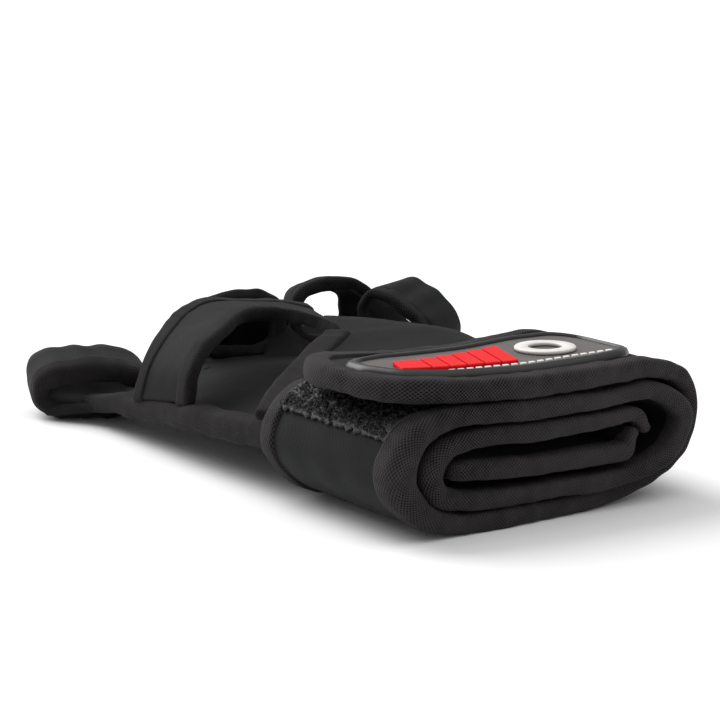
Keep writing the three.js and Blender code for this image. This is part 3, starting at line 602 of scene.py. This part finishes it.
# A raised block on the patch: a rounded outline in s and y, upright walls and a softened top, closed
# by rings that shrink to its middle.
def addBlock(name, outline, height, finish, nodes=()):
    centre = outline.mean(0)
    rings = []
    for share, high in ((1, -0.2), (1, height * 0.75), (0.985, height * 0.93), (0.955, height),
                        (0.92, height), (0.5, height), (0.06, height), (0.02, height)):
        ring = centre + (outline - centre) * share
        rings.append(wrapPoint(ring[:, 0], ring[:, 1], patchLift(ring[:, 0]) + patch["base"] + high))
    under = centre + (outline - centre) * 0.02
    rings.append(wrapPoint(under[:, 0], under[:, 1], patchLift(under[:, 0]) + patch["base"] - 0.2))
    return addSkin(name, np.stack(rings, 1), finish, nodes, loopRows=True)


def roundedOutline(corners, radius, perSide=10):  # a polygon with its corners cut round
    corners = np.asarray(corners, float)
    after = np.roll(corners, -1, 0)
    run = unit(after - corners)
    a, b = corners + run * radius, after - run * radius
    side = a[:, None] + (b - a)[:, None] * np.linspace(0, 1, perSide)[None, :, None]
    bend = np.roll(corners, -1, 0)[:, None]
    t = np.linspace(0, 1, 6)[1:-1][None, :, None]
    arc = b[:, None] * (1 - t) ** 2 + bend * 2 * t * (1 - t) + np.roll(a, -1, 0)[:, None] * t * t
    return np.concatenate([side, arc], 1).reshape(-1, 2)


for n in range(patch["bars"]):
    start = patch["barFirst"] + n * patch["barPitch"]
    far = np.interp(n, [0, patch["bars"] - 1], patch["barFar"])
    lean = patch["barSlant"] * (far - patch["barNear"]) / patch["slantOver"]
    lead = patch["barLead"] if n == 0 else 0
    corners = [(start - lead, patch["barNear"] + lead / 3), (start + patch["barWidth"], patch["barNear"]),
               (start + patch["barWidth"] + lean, far), (start + lean - lead, far)]
    addBlock(f"patch_bar_red_{n + 1}", roundedOutline(corners, 0.6), patch["barHeight"], redRubber,
             [f"patch_bar_{n + 1}"])

turn = np.linspace(0, 2 * math.pi, 72, endpoint=False)


def ringAt(inset):
    radius = patch["ringOuter"] - inset
    return np.stack([patch["ringS"] + radius * np.cos(turn), patch["ringY"] + radius * np.sin(turn)], 1)


thickRing, h = patch["ringOuter"] - patch["ringInner"], patch["ringHeight"] + patch["base"]
addMoulding("patch_ring_white", ringAt,
            [(0, 1.2), (0.05, h - 0.2), (0.25, h), (thickRing - 0.25, h), (thickRing - 0.05, h - 0.2),
             (thickRing, 1.2)],
            whiteRubber, ["patch_ring"])
for n, start in enumerate(np.arange(patch["dashFrom"], patch["dashTo"], patch["dashPitch"])):
    low = np.interp(start, [patch["dashFrom"], patch["dashTo"]], patch["dashY"])
    high = low + patch["dashWide"]
    end = start + patch["dashLong"]
    corners = [(start, low), (end, low), (end + patch["dashLean"], high), (start + patch["dashLean"], high)]
    addBlock(f"patch_dash_{n + 1}", roundedOutline(corners, 0.25, 3), patch["dashHeight"], whiteRubber)
print("patch made")


# Palm

# Rows of sections: y, how much nearer the wrist the right edge lies, then x and z of the left
# edge, the middle, the right turn and the edge turned up.
palm = {
    "rows": [
        (0, 0, -13, 15.6, 14, 13.9, 37.5, 14, 40.4, 18.2), (50, 0, -13, 15.6, 14, 13.9, 37.5, 14, 40.4, 18.2),
        (57.6, 0, -14, 15.4, 15, 14, 41, 12.6, 46, 15), (61, 0, -23.6, 15.1, 16, 14.2, 46, 12.4, 53, 14.6),
        (80, 0, -23.6, 13.6, 17, 15.4, 54, 12.2, 62, 14.4),
        (100, 2, -23.6, 12.7, 18, 16.2, 56, 12.6, 64, 14.6),
        (128, 10, -22.6, 10, 18, 16.2, 52, 12.8, 60, 12.2), (156, 15, -22, 7.1, 14, 15, 40, 15, 54, 12.8)],
    "cloth": 3, "wristTape": 4.8, "edgeTape": (7.4, 5.0), "edgeReach": 6.9, "handStart": 61,
    "edgeStart": 58, "edgeOut": 0.3, "edgeWander": 0.3, "edgeDip": 1.6, "dipFrom": 152, "dipTo": 163,
}


# Sections of a table at the values y: each is a smooth line through its places, moved towards
# the wrist by its share of the skew.
def sections(rows, y, across):
    rows = np.array(rows, float)
    fine = np.linspace(0, len(rows) - 1, 1200)
    t = np.interp(y, tableValue(rows[:, 0], fine), fine)
    values = tableValue(rows, t)
    places = np.stack([np.stack([values[:, 2 + 2 * n], y - values[:, 1] * n / 3, values[:, 3 + 2 * n]], -1)
                       for n in range(4)])
    return tableValue(places, np.linspace(0, 3, across)).transpose(1, 0, 2)


def palmRelief(u, v, skin):
    return softNoise(skin, 22, 41) * 0.3 + softNoise(skin, 7, 42) * 0.06


palmY = np.linspace(4.5, palm["rows"][-1][0] - 1.5, 170)
addSkin("palm_neoprene", skinOf(sections(palm["rows"], palmY, 70), palm["cloth"], steps=4), neoprene,
        ["palm_panel"], relief=palmRelief)

tapeY = np.array([6.6, 6.2, 6.0, 5.8, 5.0, 4.0, 3.0, 2.5])
tapeMiddle = sections(palm["rows"], tapeY, 120).transpose(1, 0, 2)
taper = 1 - 0.42 * smoothStep(np.linspace(0, 1, 120), 0.62, 1)
tapeThick = palm["wristTape"] * taper[:, None] * np.array([0.55, 0.66, 0.88, 0.97, 1, 1, 1, 1])
addSkin("palm_wrist_tape", skinOf(tapeMiddle, tapeThick, fullness=2.6), knitTape,
        ["palm_wrist_binding"], relief=tapeRelief)

# The edge binding lies outside the seam, thick at its outer side and thin where it is sewn down on
# the palm, and it dips towards the index loop.
edgeY = np.linspace(palm["edgeStart"], palm["rows"][-1][0] + palm["edgeReach"], 150)
edge = sections(palm["rows"], np.clip(edgeY, palm["handStart"], palm["rows"][-1][0]), 4)[:, 0]
out = np.array([-1.6, -0.9, -0.5, -0.1, 0.5, 1.4, 2.5, 3.4])
edgeMiddle = np.stack([edge[:, 0, None] - palm["edgeOut"] - out, edgeY[:, None] + 0 * out,
                       edge[:, 2, None] + 0 * out], -1)
edgeFull = np.array([0.42, 0.46, 0.55, 0.78, 0.96, 1, 1, 0.98])
edgeThick = np.interp(np.linspace(0, 1, 150) ** 2, [0, 1], palm["edgeTape"])[:, None] * edgeFull
edgeMiddle[..., 2] += palm["edgeWander"] * softNoise(edgeY[:, None], 16, 44)[:, None]
edgeMiddle[..., 2] -= palm["edgeDip"] * smoothStep(edgeY, palm["dipFrom"], palm["dipTo"])[:, None]


def edgeRelief(u, v, skin):  # this tape lies flatter than the others
    return softNoise(skin, 20, 45) * 0.14 + softNoise(np.stack([u, v * 0.25], -1), 4.2, 46) * 0.05


addSkin("palm_edge_tape", skinOf(edgeMiddle, edgeThick, fullness=3.2), shadedTape,
        ["palm_edge_binding"], relief=edgeRelief)
print("palm made")


# Back of the hand

# Rows as for the palm, with the right edge turned down.
back = {
    "rows": [
        (57.7, 0, -26, 21.6, 6, 23.6, 40, 24, 48.4, 19), (70, 0, -12, 24.8, 20, 26.6, 52, 24, 60, 17.8),
        (84, 0, 5.6, 28.4, 32, 29, 57, 25, 65, 17.8), (93.5, 0, 17.6, 30.6, 38, 30.4, 57, 25.6, 65, 18.2),
        (99, 0, 18.8, 31.2, 38, 30.4, 54, 26.6, 61, 20), (106, 0, 20, 31.8, 36, 30.2, 48, 27.8, 54, 23.6),
        (113, 0, 21.8, 32, 34, 30.2, 43, 28.6, 48.6, 26.2)],
    "cloth": 3,
}
backY = np.linspace(56.5, 112, 90)
addSkin("back_neoprene", skinOf(sections(back["rows"], backY, 80), back["cloth"], steps=4), neoprene,
        ["back_panel"], relief=palmRelief)

# x, y and z along the wrist side of the opening.
opening = {"rows": [(-28.6, 60.4, 20.8), (-17.6, 70.0, 24.0), (-1.0, 83.6, 27.8), (14.6, 96.0, 30.8)],
           "width": 6.6, "tape": 3.8}
path = evenPath(opening["rows"], 90)
run = unit(np.gradient(path, axis=0))
sideways = unit(np.stack([run[:, 1], -run[:, 0], 0 * run[:, 0]], 1))
share = np.linspace(-1, 1, 13)
strip = path[:, None] + sideways[:, None] * (share * (opening["width"] / 2 - 1.2))[None, :, None]
addSkin("opening_tape", skinOf(strip, opening["tape"], fullness=2.6), shadedTape,
        ["opening_binding"], relief=tapeRelief)


# Band over the knuckles

# x, y and z along its near and far edges, from the palm's thumb side up and over the knuckles.
band = {
    "near": [
        (-28.0, 100.5, 17.3), (-27.4, 99.5, 24.4), (-21.4, 103.5, 29.6), (-9.0, 113.5, 32.2),
        (3.0, 123.0, 33.6), (12.0, 121.5, 33.4), (16.4, 111.0, 32.6), (17.2, 100.6, 31.4)],
    "far": [
        (-28.0, 131.0, 13.6), (-26.8, 128.5, 21.4), (-21.4, 131.0, 27.6), (-9.0, 142.0, 32.2),
        (1.0, 146.0, 34.2), (10.0, 141.0, 34.0), (19.0, 137.0, 33.6), (25.0, 130.0, 32.6)],
    "cloth": 3, "tape": 3.8, "clothInset": 5.2,
}
bandNear, bandFar = evenPath(band["near"], 160), evenPath(band["far"], 160)
bandWidth = np.linalg.norm(bandFar - bandNear, axis=1)


# Places on straight lines from the near edge to the far one, in millimetres from the near edge, or
# from the far edge where the number is negative.
def bandStrip(insets):
    share = np.stack([np.where(inset >= 0, inset / bandWidth, 1 + inset / bandWidth) for inset in insets], 1)
    return bandNear[:, None] * (1 - share[..., None]) + bandFar[:, None] * share[..., None]


lines = bandStrip([band["clothInset"], -band["clothInset"]])
cross = np.linspace(0, 1, 30)[None, :, None]
bandMiddle = lines[:, :1] * (1 - cross) + lines[:, 1:] * cross
addSkin("band_neoprene", skinOf(bandMiddle, band["cloth"], steps=4), neoprene, ["knuckle_band"],
        relief=palmRelief)
nearInsets = np.array([6.3, 6.1, 5.9, 5.6, 4.6, 3.4, band["tape"] / 2])
bandTapeThick = band["tape"] * np.array([0.6, 0.72, 0.9, 1, 1, 1, 1])
for side, insets in (("near", nearInsets), ("far", -nearInsets)):
    addSkin(f"band_{side}_tape", skinOf(bandStrip(insets), bandTapeThick), shadedTape,
            [f"band_{side}_binding"], relief=tapeRelief)
print("back and band made")


# Finger loops

# Each loop: middle of its mouth, direction of the finger in degrees from +Y towards +X, turn about
# its own axis, thickness of the hem round the mouth, and how much thicker the hem's top is. The
# sections are rows of distance from the mouth, half width, half height, z of the middle, and how far
# it lies aside.
loops = {
    "index": {"at": (-24, 164.4), "aim": 27, "roll": 0, "hem": 4.8, "crown": 1.8, "sections": [
        (0, 16.8, 7.5, 7.9, 0), (6, 17.4, 8.4, 8.6, -0.6), (14, 17.4, 8.2, 10.2, -2),
        (20, 15.8, 6.0, 12.4, -3)]},
    "middle": {"at": (17.6, 151.3), "aim": 10, "roll": 0, "hem": 4, "crown": 0, "sections": [
        (0, 14.8, 10.8, 26.6, 0), (5, 14.8, 9.2, 23.6, 0), (10, 14.8, 7.2, 19.2, 0), (15, 14, 5.0, 12, 0)]},
    "ring": {"at": (46.6, 146.2), "aim": 12, "roll": 0, "hem": 3.8, "crown": 0, "sections": [
        (0, 13.8, 10.6, 26.9, 0), (5, 13.8, 10.4, 26.6, 0), (9, 12.4, 9.0, 26.8, -1.0),
        (13, 8.9, 7.2, 27.2, -2.2)]},
    "little": {"at": (52.6, 124.5), "aim": 67, "roll": 32, "hem": 3, "crown": 0, "sections": [
        (0, 14, 7.2, 25.4, 0), (7, 14, 7.6, 25.6, 0), (14, 13.6, 8, 25.8, -0.4), (20, 12.8, 8, 26, -1.2)]},
}
loopCloth = {"wall": 2.6, "rim": 5, "upper": 0.7, "lower": 0.66, "around": 180}


# Rings of a loop at distances along it, a superellipse with half axes w and h, squarer below,
# leaned by roll and turned by aim.
def loopSheet(row, along, wall):
    angle = np.linspace(0, 2 * math.pi, loopCloth["around"], endpoint=False) - math.pi / 2
    along = np.asarray(along, float)
    table = np.array(row["sections"], float)
    fine = np.linspace(0, len(table) - 1, 400)
    rowAt = np.interp(along, tableValue(table[:, 0], fine), fine)
    half, high, middleZ, side = tableValue(table, rowAt)[:, 1:].T
    power = np.where(np.sin(angle) > 0, loopCloth["upper"], loopCloth["lower"])

    def full(value):
        return np.sign(value) * np.abs(value) ** power

    x = (half - wall / 2) * full(np.cos(angle))[:, None] + side
    z = (high - wall / 2) * full(np.sin(angle))[:, None]
    y = along + 0 * x
    roll, aim = math.radians(row["roll"]), math.radians(-row["aim"])
    x, z = x * math.cos(roll) + z * math.sin(roll), z * math.cos(roll) - x * math.sin(roll)
    x, y = x * math.cos(aim) - y * math.sin(aim), x * math.sin(aim) + y * math.cos(aim)
    return np.stack([x + row["at"][0], y + row["at"][1], z + middleZ], -1)


def hemRelief(u, v, skin):  # folds running over the hem, closer than on a flat tape
    folds = softNoise(np.stack([u, v * 0.2], -1), 4.5, 51) * 0.3
    return folds + softNoise(skin, 15, 52) * 0.3


def loopRelief(u, v, skin):  # soft folds along the finger, and slow swells
    folds = softNoise(np.stack([u, v * 0.3], -1), 9, 53) * 0.35
    return folds + softNoise(skin, 20, 54) * 0.35


for name, row in loops.items():
    end = row["sections"][-1][0]
    wall, hem = loopCloth["wall"], row["hem"]
    bodyAlong = np.linspace(loopCloth["rim"] - 0.6, end - wall / 2, 26)
    hemAlong = np.concatenate([np.linspace(hem / 2, loopCloth["rim"] - 0.5, 5),
                               loopCloth["rim"] + np.array([-0.2, 0.1, 0.3])])
    hemShare = np.array([1, 1, 1, 1, 1, 0.9, 0.78, 0.7])
    angle = np.linspace(0, 2 * math.pi, loopCloth["around"], endpoint=False) - math.pi / 2
    hemThick = (hem + row["crown"] * smoothStep(np.sin(angle), -0.1, 0.6))[:, None] * hemShare
    addSkin(f"{name}_neoprene", skinOf(loopSheet(row, bodyAlong, wall), wall, loopRows=True), neoprene,
            [f"{name}_loop"], loopRows=True, relief=loopRelief)
    addSkin(f"{name}_tape", skinOf(loopSheet(row, hemAlong, hem), hemThick, loopRows=True),
            shadedTape, [f"{name}_rim"], loopRows=True, relief=hemRelief)
print("finger loops made")


# The palm's cloth runs on into the lower walls of three loops: each tab is lofted from a line on
# the palm to a line at the loop, and hangs a little between them. The web closes the palm between
# the middle and ring loops.
tabSag = 0.6
tabs = {
    "index": {"palm": [(-22.5, 149, 8.4), (-12, 149, 9.8), (-2, 148, 12.0)],
              "loop": [(-34.5, 170.6, 3.0), (-23.5, 165.3, 3.0), (-11.5, 159.2, 3.4)]},
    "middle": {"palm": [(3, 146, 14.2), (16, 144, 15.2), (29, 141.5, 15.4)],
               "loop": [(6.5, 157.3, 13.2), (18.3, 155.2, 13.0), (30.1, 153.1, 13.2)]},
    "ring": {"palm": [(31, 141, 15.4), (42, 138.5, 15.0), (52, 135, 13.6)],
             "loop": [(36.6, 152.4, 15.0), (47.4, 150.1, 14.8), (57.6, 147.9, 15.0)]},
    "web": {"palm": [(22, 144, 15.4), (31, 142, 15.6), (40, 140, 15.2)],
            "loop": [(27.5, 152.5, 19.5), (33, 151, 22.5), (37, 150.5, 19.5)]},
}
for name, row in tabs.items():
    palmLine, loopLine = evenPath(row["palm"], 40), evenPath(row["loop"], 40)
    share = np.linspace(0, 1, 26)[:, None, None]
    tabMiddle = palmLine * (1 - share) + loopLine * share
    tabMiddle[..., 2] -= tabSag * np.sin(math.pi * share[..., 0])
    addSkin(f"{name}_tab", skinOf(tabMiddle, loopCloth["wall"], steps=4), neoprene,
            relief=loopRelief)
print("palm tabs made")


# Floor, light and camera

floorSize = 8  # half a side, in metres
floorMesh = bpy.data.meshes.new("studio_floor")
floorMesh.from_pydata([(-floorSize, -floorSize, 0), (floorSize, -floorSize, 0), (floorSize, floorSize, 0),
                       (-floorSize, floorSize, 0)], [], [(0, 1, 2, 3)])
floorPaint, tree, shader = newFinish("mattWhitePaper", **{"Base Color": linear("#f4f4f4"), "Roughness": 0.9,
                                                          "Specular IOR Level": 0.1})
floorMesh.materials.append(floorPaint)
studioFloor = bpy.data.objects.new("studio_floor", floorMesh)
bpy.context.scene.collection.objects.link(studioFloor)

worldStrength = 0.47
world = bpy.data.worlds.new("paleStudio")
bpy.context.scene.world = world
world.use_nodes = True
world.node_tree.nodes["Background"].inputs["Color"].default_value = (1, 1, 1, 1)
world.node_tree.nodes["Background"].inputs["Strength"].default_value = worldStrength


# A large soft source far away, as even as a lit ceiling: the way it comes from, how strong it is,
# and how many degrees wide it looks.
def addSky(name, comesFrom, strength, wide):
    data = bpy.data.lights.new(name, "SUN")
    data.energy, data.angle = strength, math.radians(wide)
    lamp = bpy.data.objects.new(name, data)
    bpy.context.scene.collection.objects.link(lamp)
    lamp.rotation_euler = Vector(comesFrom).to_track_quat("Z", "Y").to_euler()


addSky("softBoxBack", (-0.3, 0.95, 0.9), 2.8, 50)
addSky("softBoxTop", (0.1, -0.2, 1.0), 1.0, 80)

view = {"at": (-347.2, -462.0, 151.2), "yaw": 33.5, "down": 10.8, "lens": 125, "sensor": 36}
cameraData = bpy.data.cameras.new("camera")
cameraData.lens, cameraData.sensor_width, cameraData.sensor_fit = view["lens"], view["sensor"], "HORIZONTAL"
cameraData.clip_start, cameraData.clip_end = 0.05, 50
camera = bpy.data.objects.new("camera", cameraData)
bpy.context.scene.collection.objects.link(camera)
camera.location = [float(c) for c in (np.array(view["at"]) + shift) / 1000]
camera.rotation_euler = (math.radians(90 - view["down"]), 0, math.radians(-view["yaw"]))
bpy.context.scene.camera = camera
bpy.context.scene.view_settings.view_transform = "Standard"
print("floor, light and camera made")
